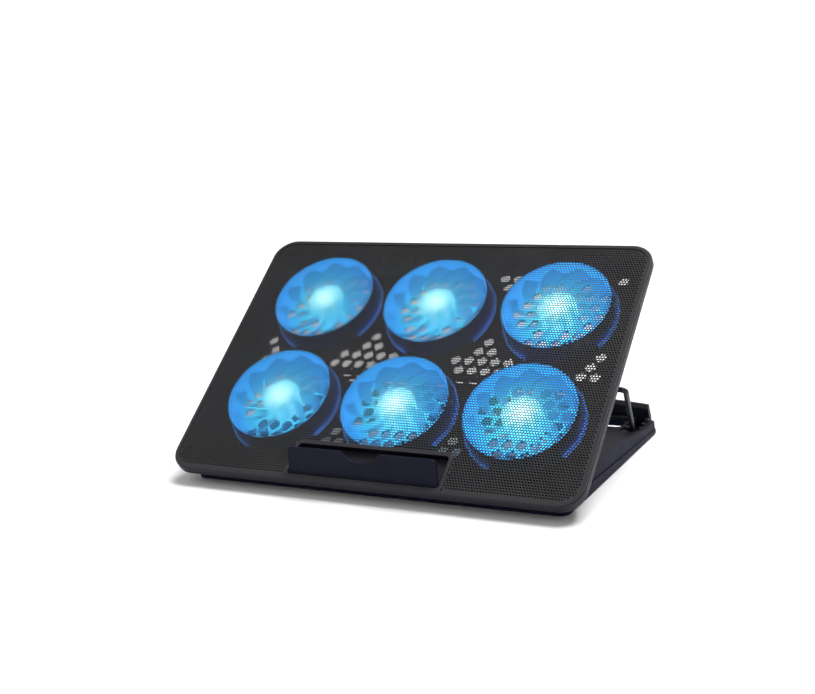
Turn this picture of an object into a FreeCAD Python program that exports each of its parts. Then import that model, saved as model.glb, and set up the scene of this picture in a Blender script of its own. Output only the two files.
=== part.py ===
import FreeCAD, Part
import math
import os

os.makedirs("parts", exist_ok=True)
V = FreeCAD.Vector

# ---------------------------------------------------------------- driving dimensions (mm, degrees)
# World frame: +Z up, X to the right, +Y to the rear, origin on the desk under the middle of the pad's
# whole footprint at rest.
# Pad frame: x to the right, v rearward from the front edge, w up from the top plane (w = 0).

PAD_W, PAD_D, PAD_T = 380.0, 273.0, 24.0     # pad outline and full thickness
PAD_R = 21.0                                 # plan corner radius of the pad
TILT = 36.0                                  # steepest level, the rest pose
FRONT_Z = 16.0                               # height of the top front edge above the desk
HINGE_V, HINGE_D = 57.0, 29.4                # tilt axis: behind the front edge, below the top plane

RIM = 4.0                                    # width of the rim round the mesh
FRAME_H = 7.0                                # height of the top frame
LEDGE = 10.0                                 # inner edge of the ledge that carries the mesh
MESH_T = 0.8
MESH_TOP = -1.0                              # mesh sits this far below the rim
MESH_BOT = MESH_TOP - MESH_T

SHELL_T = 2.5                                # bottom shell wall
SHELL_IN = 9.0                               # how far the shell tapers in at its floor
CHIN_D, CHIN_V = 9.0, 36.0                   # underside ramps from CHIN_D deep at the front
FLOOR = -(PAD_T - SHELL_T)                   # inner face of the shell floor

FAN_PITCH = 115.0                            # both ways
FAN_V = 89.5                                 # front row
RING_IN, RING_OUT, BACK_T = 48.0, 49.4, 1.2
HUB_R, HUB_TOP, HUB_BOT = 17.0, -4.6, -18.6
BLADES, BLADE_R = 11, 46.8
SHAFT_R, SLEEVE_R = 1.5, 3.0
STRUTS = 3
SCREW_R, HEAD_R, HEAD_H = 1.2, 2.5, 1.2
RUN = 0.05                                   # radial running clearance of every pivot

HEX_PITCH, HEX_FLATS = 12.4, 9.8             # honeycomb vents

TRAY_W, TRAY_V = 73.0, 40.0                  # half width and rear edge of the flap tray
TRAY_LIP = 2.6
TRAY_FRONT, TRAY_DEEP, TRAY_T = 5.6, 6.2, 1.6
FLAP_AXIS_V, FLAP_AXIS_W = 8.4, -3.0
FLAP_HALF, FLAP_L, FLAP_T = 68.8, 23.8, 3.0
FLAP_UP = 57.0                               # angle between the raised flap and the pad
PIN_R = 1.5

POD_X, POD_HALF = -57.5, 23.0                # socket pod on the rear wall
POD_V0, POD_V1 = 246.0, 272.0
USB_W, USB_H, USB_L = 13.1, 5.8, 14.0

# base, drawn with y counted from the pad's front edge
BASE_Y0, BASE_Y1 = 18.0, 243.0
BASE_HW0, BASE_HW1 = 172.5, 181.0            # half width at the front and at the rear
BASE_Z0 = 1.2                                # underside, above the desk
TOP_LINE = [(18.0, 5.0), (44.0, 12.5), (58.0, 22.0), (65.0, 25.4), (91.0, 26.0), (150.0, 20.8),
            (207.0, 12.6), (243.0, 11.0)]
SKIRT_LINE = [(18.0, 4.0), (60.0, 10.5), (243.0, 4.0)]
RAIL_IN, BAR_Z, BAR_Y = 147.0, 9.0, 80.0     # inner face of the rails, top and rear of the front bar
WINDOW_Y1, REAR_Y0, REAR_Y1, REAR_HW = 205.0, 210.0, 231.0, 155.0
REAR_LIFT = 6.5                              # underside of the bar behind the rear window
WALL_Y0, WALL_Y1 = 236.0, 241.5              # upright wall at the rear of the base
WALL_SEAT, LEDGE_Y, LEDGE_HALF = 9.0, 231.5, 157.0
WALL_LINE = [(175.0, 9.0), (175.0, 14.6), (173.0, 25.9), (140.0, 28.6), (0.0, 30.0)]
LEDGE_Z, WALL_CHAMFER = 15.1, 2.8

WIRE_R, WIRE_BEND = 2.3, 4.2                 # prop wire
PROP_V, PROP_D = 137.5, 30.0                 # its pivot on the pad
PROP_TOP_X, PROP_FOOT_X = 187.2, 167.0
FOOT_Y, FOOT_Z = 211.0, 7.0                  # where a foot stands at the steepest level
SLOT_X0, SLOT_X1 = 162.5, 171.5              # slot the foot runs in
RACK_X0, RACK_X1 = 158.5, 174.5
RACK_Y0, RACK_Y1 = 195.0, 236.0
RACK_FLOOR, RACK_SEAT = 3.8, 2.2
NOTCHES, NOTCH_PITCH = 3, 9.0                # one notch for each of the three levels

BARREL_R, TILT_PIN_R = 4.2, 2.5              # tilt hinges
BARREL_X0, BARREL_X1, EAR_T, EAR_GAP = 108.0, 132.0, 6.0, 0.4

HALF = PAD_W / 2
SIDES = (("left", -1), ("right", 1))
FANS = [(c * FAN_PITCH, FAN_V + r * FAN_PITCH) for r in (0, 1) for c in (-1, 0, 1)]
ORIGIN_Y = 121.8                             # middle of the whole footprint, behind the front edge


# ---------------------------------------------------------------- helpers
def box(x0, x1, y0, y1, z0, z1):
    return Part.makeBox(x1 - x0, y1 - y0, z1 - z0, V(x0, y0, z0))


def cyl(r, x, y, z0, z1):
    return Part.makeCylinder(r, z1 - z0, V(x, y, z0))


def rod(r, x0, x1, y, z):
    """Cylinder lying along X."""
    return Part.makeCylinder(r, x1 - x0, V(x0, y, z), V(1, 0, 0))


def tube(r0, r1, x, y, z0, z1):
    return cyl(r1, x, y, z0, z1).cut(cyl(r0, x, y, z0, z1))


def outline(x0, x1, y0, y1, r, z):
    """Closed wire of a rounded rectangle."""
    k = r * (1 - math.sqrt(0.5))
    e = [Part.LineSegment(V(x0 + r, y0, z), V(x1 - r, y0, z)),
         Part.Arc(V(x1 - r, y0, z), V(x1 - k, y0 + k, z), V(x1, y0 + r, z)),
         Part.LineSegment(V(x1, y0 + r, z), V(x1, y1 - r, z)),
         Part.Arc(V(x1, y1 - r, z), V(x1 - k, y1 - k, z), V(x1 - r, y1, z)),
         Part.LineSegment(V(x1 - r, y1, z), V(x0 + r, y1, z)),
         Part.Arc(V(x0 + r, y1, z), V(x0 + k, y1 - k, z), V(x0, y1 - r, z)),
         Part.LineSegment(V(x0, y1 - r, z), V(x0, y0 + r, z)),
         Part.Arc(V(x0, y0 + r, z), V(x0 + k, y0 + k, z), V(x0 + r, y0, z))]
    return Part.Wire([s.toShape() for s in e])


def slab(x0, x1, y0, y1, r, z0, z1):
    """Rounded plate."""
    return Part.Face(outline(x0, x1, y0, y1, r, z0)).extrude(V(0, 0, z1 - z0))


def pad_wire(inset, w):
    return outline(-HALF + inset, HALF - inset, inset, PAD_D - inset, max(PAD_R - inset, 3.0), w)


def pad_slab(inset, w0, w1):
    return Part.Face(pad_wire(inset, w0)).extrude(V(0, 0, w1 - w0))


def across(points, x0, x1):
    """Profile of (y, z) points swept along X."""
    wire = Part.makePolygon([V(x0, y, z) for y, z in points + points[:1]])
    return Part.Face(wire).extrude(V(x1 - x0, 0, 0))


def fuse(shapes):
    return shapes[0].multiFuse(shapes[1:]).removeSplitter()


def on_pad(shape):
    """Pad frame to world frame at the rest tilt."""
    s = shape.copy()
    s.rotate(V(0, 0, 0), V(1, 0, 0), TILT)
    s.translate(V(0, 0, FRONT_Z))
    return s


def pad_point(x, v, w):
    t = math.radians(TILT)
    return V(x, v * math.cos(t) - w * math.sin(t), FRONT_Z + v * math.sin(t) + w * math.cos(t))


def save(name, shape):
    """Write a node; shapes are drawn from the pad's front edge and moved to the origin here."""
    shape.translated(V(0, -ORIGIN_Y, 0)).exportStep("parts/" + name + ".step")


def save_pad(name, shape):
    save(name, on_pad(shape))


# ---------------------------------------------------------------- top frame with the flap tray
frame = pad_slab(0, -FRAME_H, 0)
top_edges = [e for e in frame.Edges if abs(e.BoundBox.ZMin) < 0.01]
frame = frame.makeFillet(1.4, top_edges)
frame = frame.cut(pad_slab(RIM, MESH_BOT, 1.0)).cut(pad_slab(LEDGE, -FRAME_H - 1, 0))
tray = slab(-TRAY_W, TRAY_W, 1.5, TRAY_V, 5.6, -FRAME_H, 0).fuse(
    slab(-TRAY_W, TRAY_W, TRAY_FRONT + 1.0, TRAY_V, 5.6, -TRAY_DEEP - TRAY_T, 0))
rim_edges = [e for e in tray.Edges if abs(e.BoundBox.ZMin) < 0.01 and e.BoundBox.YMax > TRAY_V - 5.7]
tray = tray.makeFillet(0.8, rim_edges)
TRAY_IN = TRAY_W - TRAY_LIP
recess = slab(-TRAY_IN, TRAY_IN, TRAY_FRONT, TRAY_V - TRAY_LIP - 0.2, 3.4, -TRAY_DEEP, 2.0)
flap_bores = rod(PIN_R + RUN, -TRAY_IN - 2.0, TRAY_IN + 2.0, FLAP_AXIS_V, FLAP_AXIS_W)
frame = frame.fuse(tray).cut(recess).cut(flap_bores)
# screw posts that meet the bottom shell
POSTS = [(sx * (HALF - 11.5), v) for sx in (-1, 1) for v in (32.0, 147.0, 246.0)]
posts = [cyl(4.0, x, v, -14.0, MESH_BOT - 0.2).cut(cyl(SCREW_R, x, v, -14.0, -6.0)) for x, v in POSTS]
frame = fuse([frame] + posts)
save_pad("top_frame", frame)

# ---------------------------------------------------------------- mesh panel
mesh = pad_slab(RIM + 0.15, MESH_BOT, MESH_TOP)
mesh = mesh.cut(slab(-TRAY_W - 0.2, TRAY_W + 0.2, -5.0, TRAY_V + 0.2, 5.6, -5.0, 5.0))
save_pad("mesh_panel", mesh)


# ---------------------------------------------------------------- bottom shell
def shell_body(wall, lift):
    """Tapered tray; wall is the inset from the outside, lift the floor thickness."""
    body = Part.makeLoft([pad_wire(wall, -FRAME_H + (1.0 if wall else 0.0)),
                          pad_wire(SHELL_IN + wall, -PAD_T + lift)], True, True)
    rise = (PAD_T - CHIN_D) / CHIN_V
    shift = lift * math.sqrt(1 + rise * rise)
    cutter = across([(-10.0, -CHIN_D + shift + 10.0 * rise), (60.0, -CHIN_D + shift - 60.0 * rise),
                     (60.0, -80.0), (-10.0, -80.0)], -HALF - 1, HALF + 1)
    return body.cut(cutter)


shell = shell_body(0.0, 0.0).cut(shell_body(SHELL_T, SHELL_T))

pod = box(POD_X - POD_HALF, POD_X + POD_HALF, POD_V0, POD_V1, FLOOR - 1.0, -FRAME_H)
pod_in = box(POD_X - POD_HALF + 1.6, POD_X + POD_HALF - 1.6, POD_V0 - 1.0, POD_V1 - 2.0, FLOOR, -FRAME_H + 1)
shell = shell.fuse(pod).cut(pod_in)

# tilt barrels under the front
for name, s in SIDES:
    x0, x1 = sorted((s * BARREL_X0, s * BARREL_X1))
    neck = box(x0, x1, HINGE_V - 3.0, HINGE_V + 3.0, -HINGE_D, -PAD_T + 1.0)
    shell = shell.fuse([rod(BARREL_R, x0, x1, HINGE_V, -HINGE_D), neck])
    shell = shell.cut(rod(TILT_PIN_R + RUN, x0 - 1, x1 + 1, HINGE_V, -HINGE_D))

# bosses for the frame screws
cutters = []
for x, v in POSTS:
    edge = shell_body(0.0, 0.0)
    shell = shell.fuse(cyl(4.0, x, v, -PAD_T, -14.0).common(edge))
    cutters += [cyl(SCREW_R, x, v, -PAD_T - 1, -13.0), cyl(HEAD_R, x, v, -PAD_T - 1, -PAD_T + HEAD_H + 2.0)]

# fan screws come up through the floor
STRUT_R = 41.0
FAN_SCREWS = []
for fx, fv in FANS:
    for k in range(STRUTS):
        a = math.radians(90 + 360.0 * k / STRUTS)
        FAN_SCREWS.append((fx + STRUT_R * math.cos(a), fv + STRUT_R * math.sin(a)))
for x, v in FAN_SCREWS:
    cutters += [cyl(SCREW_R, x, v, -PAD_T - 1, FLOOR + 1), cyl(HEAD_R, x, v, -PAD_T - 1, -PAD_T + HEAD_H)]


def hexagon(x, v):
    r = HEX_FLATS / math.sqrt(3)
    pts = [V(x + r * math.cos(math.radians(30 + 60 * k)), v + r * math.sin(math.radians(30 + 60 * k)),
             -PAD_T - 1) for k in range(7)]
    return Part.Face(Part.makePolygon(pts)).extrude(V(0, 0, SHELL_T + 4))


def vent_allowed(x, v):
    if abs(x) > HALF - 24 or v < 46 or v > PAD_D - 21:
        return False
    if abs(x - POD_X) < POD_HALF + 7 and v > POD_V0 - 8:
        return False
    if min(math.hypot(x - sx, v - sv) for sx, sv in FAN_SCREWS) < 8.4:
        return False
    d = min(math.hypot(x - fx, v - fv) for fx, fv in FANS)
    return 19.5 < d < 42.0 or d > 59.5


HEX_ROW = HEX_PITCH * math.sqrt(3) / 2
VENTS = [((i + 0.5 * (j % 2)) * HEX_PITCH, 35.0 + j * HEX_ROW)
         for j in range(int(PAD_D / HEX_ROW) + 1) for i in range(-16, 17)]
VENTS = [(x, v) for x, v in VENTS if vent_allowed(x, v)]
cutters += [hexagon(x, v) for x, v in VENTS]

# saddle screws for the prop clips
CLIP_X, CLIP_HALF, CLIP_V = 120.0, 6.0, (PROP_V - 13.0, PROP_V + 6.5)
CLIP_SCREWS = [(s * CLIP_X, PROP_V - 9.0) for _, s in SIDES]
for x, v in CLIP_SCREWS:
    cutters.append(cyl(SCREW_R, x, v, -PAD_T - 1, FLOOR + 1))

# sockets and switch openings in the pod
SOCKETS = (POD_X - 13.0, POD_X + 3.5)
SOCKET_W = FLOOR + 5.0
SWITCH_X, SWITCH_W, SWITCH_H = POD_X + 16.0, 8.0, 9.0
SWITCH_MID = FLOOR + 6.2
for x in SOCKETS:
    cutters.append(box(x - USB_W / 2, x + USB_W / 2, POD_V1 - 3, POD_V1 + 1, SOCKET_W, SOCKET_W + USB_H))
cutters.append(box(SWITCH_X - SWITCH_W / 2, SWITCH_X + SWITCH_W / 2, POD_V1 - 3, POD_V1 + 1,
                   SWITCH_MID - SWITCH_H / 2, SWITCH_MID + SWITCH_H / 2))
shell = shell.cut(Part.makeCompound(cutters))
save_pad("bottom_shell", shell)

# ---------------------------------------------------------------- fans
for n, (fx, fv) in enumerate(FANS, 1):
    # housing: duct ring, honeycomb back, three struts, seat and bearing sleeve
    own = [hexagon(x, v) for x, v in VENTS if math.hypot(x - fx, v - fv) < RING_IN]
    back = cyl(RING_IN + 0.5, fx, fv, FLOOR, FLOOR + BACK_T).cut(Part.makeCompound(own))
    parts = [back, tube(RING_IN, RING_OUT, fx, fv, FLOOR, MESH_BOT - 0.4),
             cyl(15.0, fx, fv, FLOOR, FLOOR + 2.0)]
    for k in range(STRUTS):
        a = 90 + 360.0 * k / STRUTS
        strut = box(14.0, RING_IN + 0.5, -1.8, 1.8, FLOOR, FLOOR + 2.0)
        strut.rotate(V(0, 0, 0), V(0, 0, 1), a)
        strut.translate(V(fx, fv, 0))
        parts.append(strut)
        r = math.radians(a)
        parts.append(cyl(3.2, fx + STRUT_R * math.cos(r), fv + STRUT_R * math.sin(r), FLOOR, FLOOR + 2.6))
    parts.append(cyl(SLEEVE_R, fx, fv, FLOOR, -9.0))
    house = fuse(parts).cut(cyl(SHAFT_R + RUN, fx, fv, FLOOR + 1.2, 0))
    for k in range(STRUTS):
        r = math.radians(90 + 360.0 * k / STRUTS)
        house = house.cut(cyl(SCREW_R, fx + STRUT_R * math.cos(r), fv + STRUT_R * math.sin(r),
                              FLOOR - 1, FLOOR + 2.2))
    save_pad("fan_housing_%d" % n, house)

    # stator pressed over the sleeve, eight poles round a core
    core = tube(SLEEVE_R, 6.4, fx, fv, FLOOR + 2.0, -9.4)
    poles = []
    for k in range(8):
        pole = box(6.0, 13.2, -1.5, 1.5, FLOOR + 4.0, -11.4)
        pole.rotate(V(0, 0, 0), V(0, 0, 1), 45 * k)
        pole.translate(V(fx, fv, 0))
        poles.append(pole)
    save_pad("fan_stator_%d" % n, fuse([core] + poles))

    # rotor: hub cup, shaft and swept blades
    hub = cyl(HUB_R, fx, fv, HUB_BOT, HUB_TOP)
    hub = hub.makeFillet(1.6, [e for e in hub.Edges if e.BoundBox.ZMin > HUB_TOP - 0.1])
    hub = hub.cut(cyl(HUB_R - 1.5, fx, fv, HUB_BOT - 1, HUB_TOP - 1.6))
    hub = hub.fuse(cyl(SHAFT_R, fx, fv, FLOOR + 1.6, HUB_TOP - 1.0))

    def section(w, turn, thick):
        def at(r, deg):
            b = math.radians(deg + turn)
            return V(fx + r * math.cos(b), fv + r * math.sin(b), w)
        mid = (HUB_R + BLADE_R) / 2
        t = thick
        # a blade sweeps back by 34 degrees from hub to tip
        a = Part.Arc(at(HUB_R - 0.7, 0), at(mid, -11), at(BLADE_R, -34)).toShape()
        b = Part.LineSegment(at(BLADE_R, -34), at(BLADE_R, -34 - 57.3 * t / BLADE_R)).toShape()
        c = Part.Arc(at(BLADE_R, -34 - 57.3 * t / BLADE_R), at(mid, -11 - 57.3 * t / mid),
                     at(HUB_R - 0.7, -57.3 * t / HUB_R)).toShape()
        d = Part.LineSegment(at(HUB_R - 0.7, -57.3 * t / HUB_R), at(HUB_R - 0.7, 0)).toShape()
        return Part.Wire([a, b, c, d])

    blade = Part.makeLoft([section(HUB_BOT + 1.2, 0.0, 1.1), section(HUB_TOP - 1.8, 16.0, 1.1)], True, True)
    blades = []
    for k in range(BLADES):
        b = blade.copy()
        b.rotate(V(fx, fv, 0), V(0, 0, 1), 360.0 * k / BLADES + 5.0 * n)
        blades.append(b)
    save_pad("fan_rotor_%d" % n, fuse([hub] + blades))

    # light guide round the foot of the ring, open toward the front
    arc = tube(RING_OUT + 0.9, RING_OUT + 3.1, fx, fv, FLOOR, FLOOR + 3.0)
    a0, a1 = math.radians(-112), math.radians(-36)
    far = 90.0
    gap = Part.Face(Part.makePolygon([
        V(fx, fv, FLOOR - 1), V(fx + far * math.cos(a0), fv + far * math.sin(a0), FLOOR - 1),
        V(fx + far * math.cos((a0 + a1) / 2), fv + far * math.sin((a0 + a1) / 2), FLOOR - 1),
        V(fx + far * math.cos(a1), fv + far * math.sin(a1), FLOOR - 1),
        V(fx, fv, FLOOR - 1)])).extrude(V(0, 0, 8))
    save_pad("light_guide_%d" % n, arc.cut(gap))


# ---------------------------------------------------------------- screws
def screw(x, v, w_head, w_tip):
    s = cyl(HEAD_R, x, v, w_head, w_head + HEAD_H).fuse(cyl(SCREW_R, x, v, w_head + HEAD_H, w_tip))
    slot = box(x - 1.6, x + 1.6, v - 0.3, v + 0.3, w_head - 1, w_head + 0.6)
    return s.cut(slot).cut(box(x - 0.3, x + 0.3, v - 1.6, v + 1.6, w_head - 1, w_head + 0.6))


save_pad("fan_screws", Part.makeCompound([screw(x, v, -PAD_T, FLOOR + 2.0) for x, v in FAN_SCREWS]))
save_pad("frame_screws", Part.makeCompound([screw(x, v, -PAD_T + 2.0, -7.0) for x, v in POSTS]))

# ---------------------------------------------------------------- socket board, sockets and switch
board = box(POD_X - POD_HALF + 2.0, POD_X + POD_HALF - 2.0, POD_V0 + 1.0, POD_V1 - 2.4, FLOOR + 3.4, SOCKET_W)
stands = [cyl(1.6, x, POD_V0 + 4.0, FLOOR, FLOOR + 3.4) for x in (POD_X - 18.5, POD_X + 18.5)]
board = board.cut(box(SWITCH_X - 5.0, SWITCH_X + 7.0, POD_V1 - 13.0, POD_V1, FLOOR, 0))
save_pad("socket_board", fuse([board] + stands))
for n, x in enumerate(SOCKETS, 1):
    can = box(x - USB_W / 2, x + USB_W / 2, POD_V1 - USB_L, POD_V1 + 0.4, SOCKET_W, SOCKET_W + USB_H)
    can = can.cut(box(x - USB_W / 2 + 0.4, x + USB_W / 2 - 0.4, POD_V1 - USB_L + 1.5, POD_V1 + 2,
                      SOCKET_W + 0.4, SOCKET_W + USB_H - 0.4))
    tongue = box(x - 5.4, x + 5.4, POD_V1 - USB_L, POD_V1 - 1.5, SOCKET_W + 3.0, SOCKET_W + 4.9)
    save_pad("usb_socket_%d" % n, can.fuse(tongue))

sx0, sx1 = SWITCH_X - SWITCH_W / 2, SWITCH_X + SWITCH_W / 2
sw0, sw1 = SWITCH_MID - SWITCH_H / 2, SWITCH_MID + SWITCH_H / 2
body = box(sx0, sx1, POD_V1 - 11.0, POD_V1, sw0, sw1)
flange = box(sx0 - 1.2, sx1 + 1.2, POD_V1, POD_V1 + 0.8, sw0 - 1.2, sw1 + 1.2)
body = body.fuse(flange).cut(box(sx0 + 1.2, sx1 - 1.2, POD_V1 - 6.0, POD_V1 + 2, sw0 + 0.9, sw1 - 0.9))
ROCK_V, ROCK_R = POD_V1 - 1.6, 0.8
body = body.cut(rod(ROCK_R + RUN, sx0 + 0.4, sx1 - 0.4, ROCK_V, SWITCH_MID))
save_pad("switch_body", body)
half = SWITCH_H / 2 - 1.3
rocker = across([(ROCK_V - 1.2, SWITCH_MID - half + 1.0), (ROCK_V + 2.1, SWITCH_MID - half),
                 (ROCK_V + 1.7, SWITCH_MID), (ROCK_V + 3.2, SWITCH_MID + half - 0.8),
                 (ROCK_V - 0.4, SWITCH_MID + half - 1.6), (ROCK_V - 1.2, SWITCH_MID)], sx0 + 1.5, sx1 - 1.5)
save_pad("switch_rocker", rocker.fuse(rod(ROCK_R, sx0 + 0.6, sx1 - 0.6, ROCK_V, SWITCH_MID)))

# ---------------------------------------------------------------- flap that holds the laptop's front edge
R_TOP, SCALLOP_R, SCALLOP_DEEP = 4.0, 21.0, 9.5
plate = slab(-FLAP_HALF, FLAP_HALF, -8.0, FLAP_L, R_TOP, -FLAP_T / 2, FLAP_T / 2)
plate = plate.cut(box(-90, 90, -20, 0, -5, 5))
plate = plate.cut(cyl(SCALLOP_R, 0, FLAP_L - SCALLOP_DEEP + SCALLOP_R, -5, 5))
plate = plate.makeFillet(0.8, [e for e in plate.Edges if e.BoundBox.YMin > 2.0 and
                               abs(abs(e.BoundBox.ZMin) - FLAP_T / 2) < 0.01 and e.BoundBox.ZLength < 0.01])
flap = fuse([plate, rod(2.1, -FLAP_HALF, FLAP_HALF, 0, 0)])
flap = flap.fuse(rod(PIN_R, -TRAY_IN - 1.6, TRAY_IN + 1.6, 0, 0))
flap.rotate(V(0, 0, 0), V(1, 0, 0), FLAP_UP)
flap.translate(V(0, FLAP_AXIS_V, FLAP_AXIS_W))
save_pad("flap", flap)

# ---------------------------------------------------------------- prop wire, its clips and their screws
for (name, s), (x, v) in zip(SIDES, CLIP_SCREWS):
    clip = box(x - CLIP_HALF, x + CLIP_HALF, PROP_V - 4.6, PROP_V + 4.6, -PROP_D, -PAD_T)
    clip = clip.fuse(rod(4.6, x - CLIP_HALF, x + CLIP_HALF, PROP_V, -PROP_D))
    clip = clip.fuse(box(x - CLIP_HALF, x + CLIP_HALF, CLIP_V[0], PROP_V, -PAD_T - 2.4, -PAD_T))
    clip = clip.cut(rod(WIRE_R + RUN, x - 20, x + 20, PROP_V, -PROP_D)).cut(cyl(SCREW_R, x, v, -40, 0))
    save_pad("prop_clip_" + name, clip.removeSplitter())
save_pad("clip_screws", Part.makeCompound(
    [screw(x, v, -PAD_T - 2.4 - HEAD_H, FLOOR - 0.2) for x, v in CLIP_SCREWS]))

knee = pad_point(0, PROP_V, -PROP_D)
foot = V(PROP_FOOT_X, FOOT_Y, FOOT_Z)
path = [V(-foot.x, foot.y, foot.z), V(-PROP_TOP_X, knee.y, knee.z), V(PROP_TOP_X, knee.y, knee.z), foot]


def bent(points, radii):
    """Round wire through the points, with one bend radius per inner point."""
    edges, start = [], points[0]
    for a, b, c, bend in zip(points, points[1:], points[2:], radii):
        u, w = (a - b).normalize(), (c - b).normalize()
        h = u.getAngle(w) / 2
        p, q = b + u * (bend / math.tan(h)), b + w * (bend / math.tan(h))
        mid = b + (u + w).normalize() * (bend / math.sin(h) - bend)
        edges += [Part.LineSegment(start, p).toShape(), Part.Arc(p, mid, q).toShape()]
        start = q
    edges.append(Part.LineSegment(start, points[-1]).toShape())
    ring = Part.Wire(Part.makeCircle(WIRE_R, points[0], points[1] - points[0]))
    return Part.Wire(edges).makePipeShell([ring], True, False)


wire = bent(path, [WIRE_BEND, WIRE_BEND])
tips = [Part.makeSphere(WIRE_R, p) for p in (path[0], path[-1])]
save("prop_wire", wire.fuse(tips))

# ---------------------------------------------------------------- base
hinge = pad_point(0, HINGE_V, -HINGE_D)


def plan(inset, z):
    pts = [V(s * (hw - inset), y, z) for s, hw, y in
           ((-1, BASE_HW0, BASE_Y0 + inset), (1, BASE_HW0, BASE_Y0 + inset),
            (1, BASE_HW1, BASE_Y1 - inset), (-1, BASE_HW1, BASE_Y1 - inset))]
    return Part.makePolygon(pts + pts[:1])


def rounded(solid, r):
    return solid.makeFillet(r, [e for e in solid.Edges if e.BoundBox.ZLength > 20.0])


def under(line, drop=0.0, x=200.0):
    """Everything below a (y, z) line."""
    return across([(line[0][0] - 5, -20.0), (line[0][0] - 5, line[0][1] - drop)] +
                  [(y, z - drop) for y, z in line] +
                  [(line[-1][0] + 5, line[-1][1] - drop), (line[-1][0] + 5, -20.0)], -x, x)


def top_at(y):
    for (ya, za), (yb, zb) in zip(TOP_LINE, TOP_LINE[1:]):
        if ya <= y <= yb:
            return za + (zb - za) * (y - ya) / (yb - ya)


skirt = rounded(Part.makeLoft([plan(0.0, BASE_Z0), plan(0.4, 30.0)], True, True), 9.0)
skirt = skirt.common(under(SKIRT_LINE))
upper = rounded(Part.makeLoft([plan(0.6, BASE_Z0), plan(2.2, 30.0)], True, True), 8.0)
upper = upper.common(under(TOP_LINE))
base = skirt.fuse(upper)
base = base.cut(box(-RAIL_IN, RAIL_IN, BASE_Y0 + 4.0, WINDOW_Y1, BAR_Z, 60))
base = base.cut(slab(-RAIL_IN, RAIL_IN, BAR_Y, WINDOW_Y1, 10.0, 0, 60))
base = base.cut(slab(-REAR_HW, REAR_HW, REAR_Y0, REAR_Y1, 4.0, 0, 60))
base = base.cut(box(-REAR_HW + 2.0, REAR_HW - 2.0, REAR_Y1 - 1.0, BASE_Y1 + 5, 0, REAR_LIFT))
# hollow rails, open underneath, with cross ribs
RIBS = 5
RIB_Y0, RIB_Y1, RIB_T = 48.0, 191.0, 2.4
cell = (RIB_Y1 - RIB_Y0 + RIB_T) / RIBS
for name, s in SIDES:
    for k in range(RIBS):
        y0 = RIB_Y0 + k * cell
        y1 = y0 + cell - RIB_T
        line = [(y0, top_at(y0) - 3.0)] + [(y, z - 3.0) for y, z in TOP_LINE if y0 < y < y1] + \
            [(y1, top_at(y1) - 3.0)]
        x0, x1 = sorted((s * (RAIL_IN + 3.0), s * 165.5))
        base = base.cut(across([(y0, -1.0)] + line + [(y1, -1.0)], x0, x1))
    # pocket for the notched rack
    r0, r1 = sorted((s * RACK_X0, s * RACK_X1))
    base = base.cut(box(r0, r1, RACK_Y0, RACK_Y1, RACK_SEAT, 60))
# groove for the rear wall and its ledge
base = base.cut(box(-WALL_LINE[0][0], WALL_LINE[0][0], WALL_Y0, WALL_Y1, WALL_SEAT, 60))
base = base.cut(box(-LEDGE_HALF, LEDGE_HALF, LEDGE_Y, WALL_Y0, WALL_SEAT, 60))
# ears for the tilt pins
ears, clear = [], []
for name, s in SIDES:
    for x0, x1 in ((BARREL_X0 - EAR_GAP - EAR_T, BARREL_X0 - EAR_GAP),
                   (BARREL_X1 + EAR_GAP, BARREL_X1 + EAR_GAP + EAR_T)):
        x0, x1 = sorted((s * x0, s * x1))
        ears += [rod(BARREL_R, x0, x1, hinge.y, hinge.z),
                 across([(hinge.y - BARREL_R, hinge.z), (hinge.y + BARREL_R, hinge.z),
                         (hinge.y + BARREL_R + 4.0, BAR_Z - 1.0),
                         (hinge.y - BARREL_R - 4.0, BAR_Z - 1.0)], x0, x1)]
    p0, p1 = sorted((s * (BARREL_X0 - EAR_GAP - EAR_T), s * (BARREL_X1 + EAR_GAP + EAR_T)))
    clear.append(rod(TILT_PIN_R, p0 - 1, p1 + 1, hinge.y, hinge.z))
base = fuse([base] + ears)
FOOT_PADS = [(sx * x, y) for sx in (-1, 1) for x, y in ((158.0, BASE_Y0 + 17.0), (167.0, BASE_Y1 - 21.0))]
FP_X, FP_Y = 6.5, 10.0
for x, y in FOOT_PADS:
    clear.append(slab(x - FP_X, x + FP_X, y - FP_Y, y + FP_Y, 5.0, -1, BASE_Z0 + 0.6))
base = base.cut(Part.makeCompound(clear))
save("base_frame", base)

for name, s in SIDES:
    x0, x1 = sorted((s * (BARREL_X0 - EAR_GAP - EAR_T), s * (BARREL_X1 + EAR_GAP + EAR_T)))
    save("tilt_pin_" + name, rod(TILT_PIN_R, x0, x1, hinge.y, hinge.z))

# rear wall: gently arched top with a chamfered front edge, and a ledge low along its front
side = WALL_LINE[:-1]
edge_line = side + [WALL_LINE[-1]] + [(-x, z) for x, z in reversed(side)]
wall = Part.Face(Part.makePolygon([V(x, WALL_Y0, z) for x, z in edge_line + edge_line[:1]]))
wall = wall.extrude(V(0, WALL_Y1 - WALL_Y0, 0))
wall = wall.makeChamfer(WALL_CHAMFER, [e for e in wall.Edges if e.BoundBox.YMax < WALL_Y0 + 0.01 and
                                       e.BoundBox.ZMin > WALL_LINE[2][1] - 0.1])
ledge = box(-LEDGE_HALF, LEDGE_HALF, LEDGE_Y, WALL_Y0 + 1.0, WALL_SEAT, LEDGE_Z)
ledge = ledge.makeFillet(1.2, [e for e in ledge.Edges if e.BoundBox.YMax < LEDGE_Y + 0.01 and
                               e.BoundBox.ZMin > LEDGE_Z - 0.1])
save("rear_wall", fuse([wall, ledge]))

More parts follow.
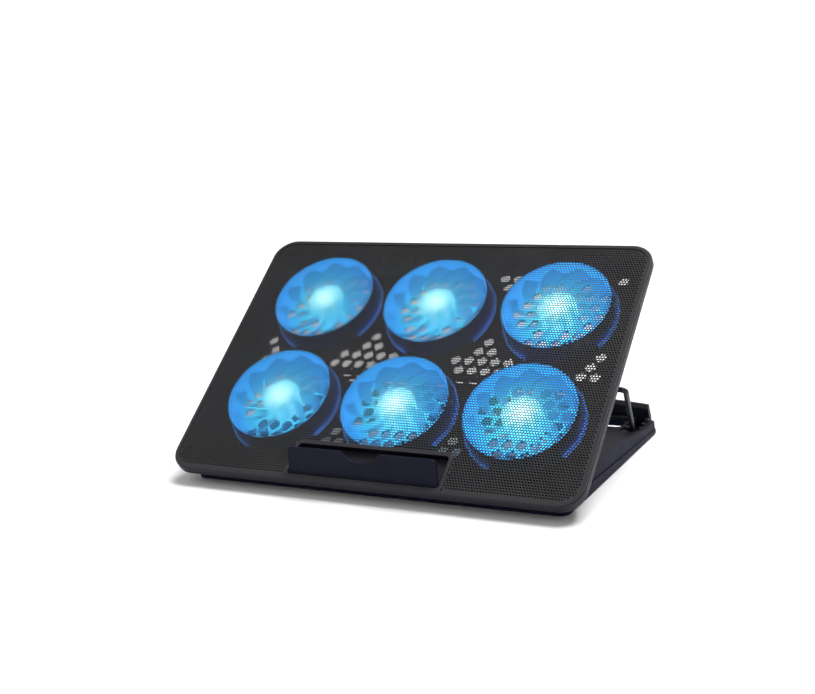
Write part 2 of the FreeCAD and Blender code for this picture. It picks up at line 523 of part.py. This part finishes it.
# racks: a channel with hooked notches on both sides, rising to the rear
for name, s in SIDES:
    rise = 1.1
    prof = [(RACK_Y0, RACK_SEAT), (RACK_Y0, FOOT_Z + 2.0), (RACK_Y0 + 4.0, FOOT_Z + 2.4)]
    for k in range(NOTCHES):
        y, z = FOOT_Y + k * NOTCH_PITCH, FOOT_Z + 5.0 + k * rise
        prof += [(y - 4.6, z - 0.6), (y - 3.4, z - 3.0), (y - 0.6, z - 4.6), (y + 1.4, z - 4.0),
                 (y + 2.6, z - 0.4)]
    prof += [(RACK_Y1 - 3.4, LEDGE_Z), (RACK_Y1, LEDGE_Z), (RACK_Y1, RACK_SEAT)]
    strips = [across(prof, *sorted((s * a, s * b))) for a, b in ((RACK_X0, SLOT_X0), (SLOT_X1, RACK_X1))]
    f0, f1 = sorted((s * SLOT_X0, s * SLOT_X1))
    save("notch_rack_" + name, fuse(strips + [box(f0, f1, RACK_Y0, RACK_Y1, RACK_SEAT, RACK_FLOOR)]))

save("rubber_feet", Part.makeCompound(
    [slab(x - FP_X, x + FP_X, y - FP_Y, y + FP_Y, 5.0, 0, BASE_Z0 + 0.6) for x, y in FOOT_PADS]))
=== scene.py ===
"""Laptop cooling pad with six lit fans: the looks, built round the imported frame."""
import math

import bpy
import numpy as np
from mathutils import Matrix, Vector
from mathutils.geometry import delaunay_2d_cdt


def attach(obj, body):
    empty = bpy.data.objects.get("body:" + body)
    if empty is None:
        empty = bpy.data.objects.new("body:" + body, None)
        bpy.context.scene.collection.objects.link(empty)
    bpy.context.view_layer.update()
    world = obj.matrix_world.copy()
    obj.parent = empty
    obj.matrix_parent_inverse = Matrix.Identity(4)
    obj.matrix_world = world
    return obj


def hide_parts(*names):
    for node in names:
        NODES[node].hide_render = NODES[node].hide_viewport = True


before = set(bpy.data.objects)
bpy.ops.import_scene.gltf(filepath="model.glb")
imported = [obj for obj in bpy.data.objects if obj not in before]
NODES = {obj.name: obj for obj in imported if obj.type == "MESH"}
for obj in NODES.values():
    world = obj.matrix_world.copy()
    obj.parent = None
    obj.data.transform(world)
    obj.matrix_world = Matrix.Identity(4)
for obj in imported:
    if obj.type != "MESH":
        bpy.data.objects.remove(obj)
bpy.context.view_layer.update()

# ---------------------------------------------------------------- dimensions, as in the CAD source (metres)
MM = 0.001
TILT = math.radians(36.0)
ORIGIN_Y, FRONT_Z = 121.8 * MM, 16.0 * MM
PAD_W, PAD_D, PAD_R = 380.0 * MM, 273.0 * MM, 21.0 * MM
FAN_PITCH, FAN_V = 115.0 * MM, 89.5 * MM
MESH_INSET, MESH_TOP, MESH_T = 4.15 * MM, -1.0 * MM, 0.8 * MM
NOTCH_HALF, NOTCH_V, NOTCH_R = 73.2 * MM, 40.2 * MM, 5.6 * MM
HOLE_PITCH, ROW_PITCH = 2.5 * MM, 2.51 * MM
HOLE_W, HOLE_H = 1.75 * MM, 2.1 * MM
EDGE_BAND = 1.75 * MM
FAN_SEEN = 50.0 * MM
RIM_LIT_LEVEL = -0.35 * MM                          # the frame is painted grey above this level as painted light on its top, navy below as painted shade on its sides

COS, SIN = math.cos(TILT), math.sin(TILT)
UP = Vector((0.0, -SIN, COS))
FANS = [(c * FAN_PITCH, FAN_V + r * FAN_PITCH) for r in (0, 1) for c in (-1, 0, 1)]


def pad_point(x, v, w):
    """World point of a place on the pad: right, back from the front edge, up from its top."""
    return Vector((x, v * COS - w * SIN - ORIGIN_Y, FRONT_Z + v * SIN + w * COS))


# ---------------------------------------------------------------- camera
def add_camera():
    data = bpy.data.cameras.new("camera")
    data.sensor_width, data.lens = 36.0, 59.05
    data.clip_start, data.clip_end = 0.05, 200.0
    cam = bpy.data.objects.new("camera", data)
    cam.location = (0.51228, -1.01493, 0.38673)
    cam.rotation_euler = [math.radians(a) for a in (75.927, 3.972, 26.141)]
    bpy.context.scene.collection.objects.link(cam)
    bpy.context.scene.camera = cam


add_camera()


# ---------------------------------------------------------------- materials
class Graph:
    """A material and short calls for its nodes."""

    def __init__(self, name, **sockets):
        self.mat = bpy.data.materials.new(name)
        self.mat.use_nodes = True
        self.tree = self.mat.node_tree
        self.bsdf = self.tree.nodes["Principled BSDF"]
        for key, value in sockets.items():
            self.bsdf.inputs[key.replace("_", " ")].default_value = value
        coords = self.tree.nodes.new("ShaderNodeTexCoord")
        self.place, self.facing = coords.outputs["Object"], coords.outputs["Normal"]

    def node(self, kind, values=None, **props):
        n = self.tree.nodes.new("ShaderNode" + kind)
        for key, value in props.items():
            setattr(n, key, value)
        for key, value in (values or {}).items():
            if isinstance(value, bpy.types.NodeSocket):
                self.tree.links.new(value, n.inputs[key])
            else:
                n.inputs[key].default_value = value
        return n

    def noise(self, scale, detail=2.0, rough=0.5, at=None):
        n = self.node("TexNoise", {"Vector": at or self.place, "Scale": scale,
                                   "Detail": detail, "Roughness": rough})
        return n.outputs["Fac"]

    def math(self, op, a, b=0.0, clamp=False):
        n = self.node("Math", {0: a, 1: b}, operation=op, use_clamp=clamp)
        return n.outputs[0]

    def vector(self, op, a, b=None, out=0):
        n = self.node("VectorMath", {0: a} if b is None else {0: a, 1: b}, operation=op)
        return n.outputs[out]

    def fit(self, value, low, high, to_low=0.0, to_high=1.0):
        n = self.node("MapRange", {"Value": value, "From Min": low, "From Max": high,
                                   "To Min": to_low, "To Max": to_high})
        return n.outputs[0]

    def mix(self, factor, a, b):
        n = self.node("MixRGB", {0: factor, 1: a, 2: b})
        return n.outputs[0]

    def ramp(self, value, *stops):
        n = self.node("ValToRGB", {0: value})
        line = n.color_ramp.elements
        for i, (at, colour) in enumerate(stops):
            stop = line[i] if i < 2 else line.new(at)
            stop.position, stop.color = at, (*colour, 1.0)
        return n.outputs[0]

    def edges(self, radius):
        """1 along convex and concave edges, 0 on the flats."""
        bevel = self.node("Bevel", {"Radius": radius}, samples=4).outputs[0]
        flat = self.node("NewGeometry").outputs["Normal"]
        return self.fit(self.vector("DOT_PRODUCT", bevel, flat, 1), 0.99, 0.75)

    def bump(self, height, strength, distance):
        n = self.node("Bump", {"Height": height, "Strength": strength, "Distance": distance})
        self.link(n.outputs[0], "Normal")

    def link(self, out, name):
        self.tree.links.new(out, self.bsdf.inputs[name])


def rgba(r, g, b):
    return (r, g, b, 1.0)


def pad_height(g):
    """Height above the pad's top plane."""
    level = g.vector("DOT_PRODUCT", g.place, UP[:], 1)
    return g.math("SUBTRACT", level, UP.dot(pad_point(0.0, 0.0, 0.0)))


def painted_lit_top(g):
    """1 on faces that look upward: the mask for the base's painted light on its tops."""
    return g.fit(g.vector("DOT_PRODUCT", g.facing, (0.0, 0.0, 1.0), 1), 0.35, 0.7)


def plastic(name, colour, wear_and_highlight_colour, rough, grain=1500.0, depth=0.12, edge=0.9 * MM, painted_lit_colour=None, painted_lit_mask=None,
            **sockets):
    """Moulded plastic: fine spark grain, a faint uneven sheen, and paler edges, partly wear and partly a
    painted edge highlight.

    A second, lighter colour is painted on the parts the given mask picks out: painted light on the tops,
    with the first colour left as painted shade on the sides.
    """
    g = Graph(name, **sockets)
    fine, wide = g.noise(grain, 3.0), g.noise(38.0, 5.0, 0.6)
    # painted light: masked tops take the lighter colour; the first colour stays as painted shade on the
    # sides
    if painted_lit_colour:
        colour = g.mix(painted_lit_mask(g), rgba(*colour), rgba(*painted_lit_colour))
    else:
        colour = rgba(*colour)
    # paler edges: partly wear, partly a painted edge highlight
    wear_and_edge_highlight = g.math("MULTIPLY", g.edges(edge), g.fit(g.noise(160.0, 4.0), 0.25, 0.75, 0.35, 1.0))
    tone = g.mix(g.fit(wide, 0.3, 0.7, 0.0, 0.10), colour, rgba(*wear_and_highlight_colour))
    g.link(g.mix(g.math("MULTIPLY", wear_and_edge_highlight, 0.8), tone, rgba(*wear_and_highlight_colour)), "Base Color")
    sheen = g.fit(wide, 0.3, 0.7, rough - 0.05, rough + 0.07)
    g.link(g.math("ADD", sheen, g.fit(fine, 0.0, 1.0, -0.05, 0.05)), "Roughness")
    g.bump(fine, 0.5, depth * MM)
    return g.mat


def metal(name, colour, dark, rough, stretch=(1.0, 1.0, 1.0), scale=900.0, depth=0.03):
    """Bare or coated metal with fine drawn lines and faint stains."""
    g = Graph(name, Metallic=1.0)
    drawn = g.vector("MULTIPLY", g.place, stretch)
    fine, wide = g.noise(scale, 4.0, at=drawn), g.noise(55.0, 4.0)
    g.link(g.mix(g.fit(wide, 0.35, 0.75), rgba(*colour), rgba(*dark)), "Base Color")
    g.link(g.fit(fine, 0.3, 0.7, rough - 0.07, rough + 0.09), "Roughness")
    g.bump(fine, 0.4, depth * MM)
    return g.mat


def pad_plane(g, x, v):
    """Distances to the right and to the rear of a place on the pad."""
    out = g.vector("SUBTRACT", g.place, pad_point(x, v, 0.0)[:])
    return (g.vector("DOT_PRODUCT", out, (1.0, 0.0, 0.0), 1),
            g.vector("DOT_PRODUCT", out, (0.0, COS, SIN), 1))


def reach(g, right, back):
    """Distance within the pad's plane, 1 at a fan's ring."""
    far = g.math("ADD", g.math("MULTIPLY", right, right), g.math("MULTIPLY", back, back))
    return g.math("DIVIDE", g.math("SQRT", far), FAN_SEEN)


def coated_mesh():
    """Powder-coated steel: tight orange peel, paler chalky spots, and a painted blue glow over each fan,
    with emission on the steel as painted light from the fans.
    """
    g = Graph("mesh_coat", Metallic=0.1, Specular_IOR_Level=0.28)
    peel, wide = g.noise(2600.0, 3.0), g.noise(26.0, 5.0, 0.6)
    tone = g.mix(g.fit(wide, 0.3, 0.7), rgba(0.022, 0.022, 0.023), rgba(0.031, 0.031, 0.032))
    g.link(g.mix(g.fit(peel, 0.62, 0.8, 0.0, 0.4), tone, rgba(0.085, 0.085, 0.088)), "Base Color")
    g.link(g.fit(peel, 0.25, 0.75, 0.36, 0.52), "Roughness")
    g.bump(peel, 0.35, 0.05 * MM)
    # the fans are mirrored about the pad's middle, so fold the plane onto one of them
    right, back = pad_plane(g, 0.0, FAN_V + FAN_PITCH / 2)
    right = g.math("ABSOLUTE", right)
    right = g.math("MINIMUM", right, g.math("ABSOLUTE", g.math("SUBTRACT", right, FAN_PITCH)))
    back = g.math("SUBTRACT", g.math("ABSOLUTE", back), FAN_PITCH / 2)
    # painted light: blue-cyan emission on the steel over each fan, white-cyan at its middle, fading out at
    # the ring
    near = reach(g, right, back)
    g.link(g.ramp(near, (0.0, (0.55, 1.0, 1.0)), (0.45, (0.06, 0.62, 0.95)), (0.9, (0.025, 0.40, 1.0))),
           "Emission Color")
    g.link(g.fit(near, 0.88, 0.99, 0.32, 0.0), "Emission Strength")
    return g.mat


def fan_plastic(name, x, v):
    """Clear blue rotor lit from its hub: a white-cyan swirl, then dimmer blades with painted dark edges and
    painted shade on one side of each blade; the base colour is painted paler toward the hub as painted
    light.
    """
    g = Graph(name, Roughness=0.2, IOR=1.46, Alpha=0.45)
    mottle = g.noise(210.0, 4.0, 0.6)
    right, back = pad_plane(g, x, v)
    radius, angle = reach(g, right, back), g.math("ARCTAN2", back, right)
    swirl = g.math("SINE", g.math("ADD", g.math("MULTIPLY", angle, 8.0), g.math("MULTIPLY", radius, 11.0)))
    lit = g.math("ADD", radius, g.fit(mottle, 0.3, 0.7, -0.03, 0.03))
    lit = g.math("ADD", lit, g.math("MULTIPLY", swirl, 0.055))
    # painted light: the base colour follows the hub glow, paler toward the hub
    g.link(g.ramp(lit, (0.0, (0.30, 0.80, 1.0)), (0.45, (0.04, 0.22, 0.60)), (1.0, (0.015, 0.10, 0.36))),
           "Base Color")
    glow = g.ramp(lit, (0.0, (0.75, 1.0, 1.0)), (0.22, (0.40, 1.0, 1.0)), (0.38, (0.10, 0.84, 1.0)),
                  (0.60, (0.045, 0.50, 0.95)), (1.0, (0.030, 0.28, 0.85)))
    g.link(glow, "Emission Color")
    power = g.ramp(lit, (0.0, (1.0, 1.0, 1.0)), (0.20, (0.66, 0.66, 0.66)), (0.36, (0.36, 0.36, 0.36)),
                   (1.0, (0.22, 0.22, 0.22)))
    # painted shade: blade top edges are dimmed, and blade faces turned away from a fixed direction are
    # dimmed
    rim = g.fit(g.vector("DOT_PRODUCT", g.facing, UP[:], 1), 0.8, 0.95, 0.0, 0.92)
    side = g.fit(g.vector("DOT_PRODUCT", g.facing, (-0.8, 0.49, 0.35), 1), -0.6, 0.6, 0.2, 1.0)
    shade = g.math("MULTIPLY", side, g.math("SUBTRACT", 1.0, rim))
    outer = g.fit(radius, 0.345, 0.35)
    shade = g.math("ADD", g.math("MULTIPLY", outer, shade), g.math("SUBTRACT", 1.0, outer))
    g.link(g.math("MULTIPLY", g.math("MULTIPLY", power, shade), 5.2), "Emission Strength")
    g.bump(g.noise(700.0, 3.0), 0.25, 0.05 * MM)
    return g.mat


def fan_housing(name, x, v):
    """Milky blue ring and honeycomb back, lit inside: cyan ribs near the hub, a bright blue wall."""
    g = Graph(name, Roughness=0.3)
    mottle = g.noise(120.0, 4.0, 0.6)
    radius = reach(g, *pad_plane(g, x, v))
    lit = g.math("ADD", radius, g.fit(mottle, 0.3, 0.7, -0.04, 0.04))
    g.link(g.mix(mottle, rgba(0.02, 0.12, 0.42), rgba(0.03, 0.18, 0.55)), "Base Color")
    glow = g.ramp(lit, (0.0, (0.25, 1.0, 1.0)), (0.60, (0.05, 0.82, 1.0)), (0.84, (0.035, 0.52, 1.0)),
                  (1.0, (0.022, 0.37, 1.0)))
    g.link(glow, "Emission Color")
    inner = g.fit(radius, 0.975, 0.982, 1.0, 0.0)
    g.link(g.math("MULTIPLY", g.fit(mottle, 0.3, 0.7, 1.6, 2.1), inner), "Emission Strength")
    g.bump(g.noise(800.0, 3.0), 0.25, 0.06 * MM)
    return g.mat


def light_guide():
    """Milky acrylic strip, brighter and duller by turns along its length."""
    g = Graph("guide_acrylic", Roughness=0.3, Transmission_Weight=0.3)
    beads = g.noise(120.0, 3.0, 0.6)
    g.link(g.mix(beads, rgba(0.05, 0.22, 0.75), rgba(0.10, 0.40, 0.95)), "Base Color")
    g.link(g.mix(beads, rgba(0.035, 0.19, 0.62), rgba(0.07, 0.32, 0.90)), "Emission Color")
    g.link(g.fit(beads, 0.3, 0.7, 0.5, 1.0), "Emission Strength")
    g.bump(g.noise(900.0, 2.0), 0.2, 0.05 * MM)
    return g.mat


def rubber():
    g = Graph("rubber_dark", Specular_IOR_Level=0.3)
    dust, fine = g.noise(90.0, 6.0, 0.7), g.noise(1100.0, 3.0)
    g.link(g.mix(g.fit(dust, 0.45, 0.8, 0.0, 0.5), rgba(0.012, 0.012, 0.013), rgba(0.06, 0.058, 0.055)),
           "Base Color")
    g.link(g.fit(fine, 0.3, 0.7, 0.72, 0.9), "Roughness")
    g.bump(fine, 0.6, 0.12 * MM)
    return g.mat


def copper():
    """Enamelled windings: tight parallel turns."""
    g = Graph("copper_wire", Metallic=1.0)
    turns = g.node("TexWave", {"Vector": g.place, "Scale": 900.0, "Distortion": 1.2, "Detail": 2.0},
                   bands_direction="Z").outputs["Fac"]
    g.link(g.mix(turns, rgba(0.30, 0.10, 0.035), rgba(0.78, 0.33, 0.13)), "Base Color")
    g.link(g.fit(turns, 0.0, 1.0, 0.42, 0.25), "Roughness")
    g.bump(turns, 0.8, 0.15 * MM)
    return g.mat


def board():
    """Circuit board: solder mask over tracks."""
    g = Graph("board_mask", Roughness=0.3)
    tracks = g.node("TexBrick", {"Vector": g.place, "Scale": 260.0, "Mortar Size": 0.03,
                                 "Color1": rgba(0.01, 0.06, 0.03), "Color2": rgba(0.008, 0.05, 0.028),
                                 "Mortar": rgba(0.04, 0.16, 0.07)})
    g.link(tracks.outputs["Color"], "Base Color")
    g.link(g.fit(g.noise(300.0, 3.0), 0.3, 0.7, 0.24, 0.4), "Roughness")
    g.bump(tracks.outputs["Fac"], 0.3, 0.05 * MM)
    return g.mat


FINISH = {
    # frame: the grey top above the level is painted light, the navy sides painted shade
    "frame_plastic": plastic("frame_moulded", (0.004, 0.004, 0.011), (0.050, 0.050, 0.056), 0.46,
                             painted_lit_colour=(0.019, 0.019, 0.023), painted_lit_mask=lambda g: g.fit(pad_height(g), RIM_LIT_LEVEL, 0.0),
                             Specular_IOR_Level=0.25),
    "shell_plastic": plastic("shell_moulded", (0.006, 0.006, 0.012), (0.020, 0.020, 0.030), 0.5,
                             Specular_IOR_Level=0.3),
    # base: upward faces painted lighter as painted light, the sides darker as painted shade
    "base_plastic": plastic("base_moulded", (0.003, 0.0027, 0.016), (0.009, 0.009, 0.022), 0.50,
                            painted_lit_colour=(0.014, 0.014, 0.018), painted_lit_mask=painted_lit_top, Specular_IOR_Level=0.08),
    "wall_plastic": plastic("wall_moulded", (0.005, 0.005, 0.008), (0.050, 0.050, 0.056), 0.44,
                            Specular_IOR_Level=0.2),
    "flap_plastic": plastic("flap_moulded", (0.004, 0.0045, 0.013), (0.046, 0.048, 0.060), 0.44,
                            Specular_IOR_Level=0.08),
    "light_guide": light_guide(),
    "mesh_steel": coated_mesh(),
    "pin_steel": metal("pin_steel_fine", (0.50, 0.50, 0.52), (0.36, 0.36, 0.38), 0.30, (0.1, 1, 1)),
    "wire_steel": plastic("wire_coat", (0.006, 0.006, 0.010), (0.03, 0.03, 0.036), 0.38,
                          grain=900.0, depth=0.04, edge=0.3 * MM, Specular_IOR_Level=0.25),
    "socket_steel": metal("socket_steel_fine", (0.62, 0.62, 0.64), (0.45, 0.45, 0.47), 0.28, (1, 0.1, 1)),
    "copper": copper(),
    "board": board(),
    "rubber": rubber(),
}


def finish_nodes():
    """Each CAD node takes the detailed material that stands for its slot."""
    for name, node in NODES.items():
        key = node.material_slots[0].material.name.split(".")[0]
        if key in FINISH:
            mat = FINISH[key]
        else:
            number = name.rsplit("_", 1)[1]
            make = fan_plastic if key == "fan_plastic" else fan_housing
            mat = make(key + "_lit_" + number, *FANS[int(number) - 1])
        for s in node.material_slots:
            s.material = mat


finish_nodes()


# ---------------------------------------------------------------- perforated mesh
def arc_points(x, v, r, a0, a1, n=10):
    return [(x + r * math.cos(a), v + r * math.sin(a))
            for a in (math.radians(a0 + (a1 - a0) * i / n) for i in range(n + 1))]


def mesh_outline():
    """Rounded panel outline with the notch for the flap tray, counterclockwise."""
    x, v0, v1 = PAD_W / 2 - MESH_INSET, MESH_INSET, PAD_D - MESH_INSET
    r, n = PAD_R - MESH_INSET, NOTCH_R
    pts = arc_points(x - r, v1 - r, r, 0, 90) + arc_points(r - x, v1 - r, r, 90, 180)
    pts += arc_points(r - x, v0 + r, r, 180, 270)
    pts += [(-NOTCH_HALF, v0)] + arc_points(n - NOTCH_HALF, NOTCH_V - n, n, 180, 90)
    pts += arc_points(NOTCH_HALF - n, NOTCH_V - n, n, 90, 0) + [(NOTCH_HALF, v0)]
    pts += arc_points(x - r, v0 + r, r, 270, 360)
    return np.array(pts)


def inside(points, starts, ends):
    """Which points lie within the closed loops made by a set of edges."""
    x, y = points[:, 0], points[:, 1]
    hit = np.zeros(len(points), bool)
    for (x0, y0), (x1, y1) in zip(starts, ends):
        if y0 != y1:
            hit ^= ((y0 > y) != (y1 > y)) & (x < (x1 - x0) * (y - y0) / (y1 - y0) + x0)
    return hit


def clearance(points, poly):
    """Distance from each point to the polygon's edge."""
    best = np.full(len(points), 1e9)
    for a, b in zip(poly, np.roll(poly, -1, 0)):
        d = b - a
        t = np.clip(((points - a) @ d) / (d @ d), 0, 1)
        best = np.minimum(best, np.linalg.norm(points - a - t[:, None] * d, axis=1))
    return best


def hexagon(half_w, half_h):
    """Corners of a stretched hexagon that tiles a staggered grid."""
    return np.array([(0, half_h), (-half_w, half_h / 2), (-half_w, -half_h / 2),
                     (0, -half_h), (half_w, -half_h / 2), (half_w, half_h / 2)])


def plate(name, flat, faces):
    """Closed plate: the flat faces, their underside, and a wall along every open edge."""
    used = sorted({i for f in faces for i in f})
    number = {old: new for new, old in enumerate(used)}
    flat, faces = [flat[i] for i in used], [[number[i] for i in f] for f in faces]
    count = len(flat)
    top = [pad_point(x, v, MESH_TOP) for x, v in flat]
    low = [pad_point(x, v, MESH_TOP - MESH_T) for x, v in flat]
    edges = set()
    for f in faces:
        for a, b in zip(f, f[1:] + f[:1]):
            edges.add((a, b))
    walls = [(b, a, a + count, b + count) for a, b in edges if (b, a) not in edges]
    under = [tuple(i + count for i in reversed(f)) for f in faces]
    mesh = bpy.data.meshes.new(name)
    mesh.from_pydata(top + low, [], [tuple(f) for f in faces] + under + sorted(walls))
    obj = bpy.data.objects.new(name, mesh)
    bpy.context.scene.collection.objects.link(obj)
    mesh.materials.append(FINISH["mesh_steel"])
    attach(obj, "pad")
    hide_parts("mesh_panel")
    return obj


def perforated_mesh(parts=4):
    """The panel in strips of whole hole cells, and a plain band out to its edge."""
    poly = mesh_outline()
    cols, rows = int(PAD_W / HOLE_PITCH) + 2, int(PAD_D / ROW_PITCH) + 2
    centres = np.array([((i - cols / 2 + 0.5 * (j % 2)) * HOLE_PITCH, j * ROW_PITCH)
                        for j in range(rows) for i in range(cols)])
    keep = inside(centres, poly, np.roll(poly, -1, 0)) & (clearance(centres, poly) > EDGE_BAND)
    centres = centres[keep]
    cell = hexagon(HOLE_PITCH / 2, ROW_PITCH * 2 / 3)
    hole = hexagon(HOLE_W / 2, HOLE_H / 2)
    order = np.argsort(centres[:, 0], kind="stable")
    corners, sides = {}, set()
    for k, group in enumerate(np.array_split(order, parts)):
        index, flat, faces = {}, [], []
        for c in sorted(group):
            outer = []
            for p in centres[c] + cell:
                key = (round(p[0] / MM, 2), round(p[1] / MM, 2))
                corners.setdefault(key, tuple(p))
                if key not in index:
                    index[key] = len(flat)
                    flat.append(tuple(p))
                outer.append(key)
            first = len(flat)
            flat.extend(tuple(p) for p in centres[c] + hole)
            for i in range(6):
                j = (i + 1) % 6
                sides.add((outer[i], outer[j]))
                faces.append([index[outer[i]], index[outer[j]], first + j, first + i])
        plate("mesh_field_%d" % (k + 1), flat, faces)
    rim = sorted((a, b) for a, b in sides if (b, a) not in sides)
    names = sorted({key for side in rim for key in side})
    number = {key: i for i, key in enumerate(names)}
    points = [corners[key] for key in names] + [tuple(p) for p in poly]
    edges = [(number[a], number[b]) for a, b in rim]
    edges += [(len(names) + i, len(names) + (i + 1) % len(poly)) for i in range(len(poly))]
    flat, _, faces, *_ = delaunay_2d_cdt([Vector(p) / MM for p in points], edges, [], 1, 1e-5)
    flat = np.array([tuple(p) for p in flat]) * MM
    middles = np.array([flat[list(f)].mean(0) for f in faces])
    starts, ends = (np.array([corners[side[i]] for side in rim]) for i in (0, 1))
    holes = inside(middles, starts, ends)
    band = [list(f) for f, hidden in zip(faces, holes) if not hidden]
    plate("mesh_band", [tuple(p) for p in flat], band)


perforated_mesh()


# ---------------------------------------------------------------- floor and light
def add_floor():
    mesh = bpy.data.meshes.new("floor")
    s = 60.0
    mesh.from_pydata([(-s, -s, 0), (s, -s, 0), (s, s, 0), (-s, s, 0)], [], [(0, 1, 2, 3)])
    floor = bpy.data.objects.new("floor", mesh)
    bpy.context.scene.collection.objects.link(floor)
    g = Graph("floor_paper")
    wide = g.noise(3.0, 4.0)
    g.link(g.mix(wide, rgba(0.86, 0.86, 0.86), rgba(0.90, 0.90, 0.90)), "Base Color")
    g.link(g.fit(wide, 0.3, 0.7, 0.75, 0.85), "Roughness")
    mesh.materials.append(g.mat)


def area_light(name, at, aim, size, power, colour=(1.0, 1.0, 1.0)):
    data = bpy.data.lights.new(name, "AREA")
    data.shape, data.size, data.size_y = "RECTANGLE", size[0], size[1]
    data.energy, data.color = power, colour
    lamp = bpy.data.objects.new(name, data)
    lamp.location = at
    lamp.rotation_euler = (Vector(aim) - Vector(at)).to_track_quat("-Z", "Y").to_euler()
    bpy.context.scene.collection.objects.link(lamp)


def add_world():
    """White all round near the horizon, a greyer room overhead."""
    world = bpy.data.worlds.new("studio")
    world.use_nodes = True
    tree = world.node_tree
    way = tree.nodes.new("ShaderNodeTexCoord").outputs["Generated"]
    split = tree.nodes.new("ShaderNodeSeparateXYZ")
    fit = tree.nodes.new("ShaderNodeMapRange")
    for key, value in (("From Min", 0.16), ("From Max", 0.42), ("To Min", 1.2), ("To Max", 0.34)):
        fit.inputs[key].default_value = value
    back = tree.nodes["Background"]
    back.inputs["Color"].default_value = (1.0, 1.0, 1.0, 1.0)
    tree.links.new(way, split.inputs[0])
    tree.links.new(split.outputs["Z"], fit.inputs["Value"])
    tree.links.new(fit.outputs[0], back.inputs["Strength"])
    bpy.context.scene.world = world


def add_lights():
    sky = bpy.data.lights.new("sky", "SUN")
    sky.energy, sky.angle = 3.6, math.radians(36.0)
    lamp = bpy.data.objects.new("sky", sky)
    lamp.rotation_euler = (-Vector((0.24, 0.24, 0.94))).to_track_quat("-Z", "Y").to_euler()
    bpy.context.scene.collection.objects.link(lamp)
    area_light("fill", (-0.9, -1.1, 1.5), (0, 0, 0.05), (1.6, 1.2), 6.0)


add_world()
add_floor()
add_lights()
bpy.context.scene.view_settings.view_transform = "Standard"
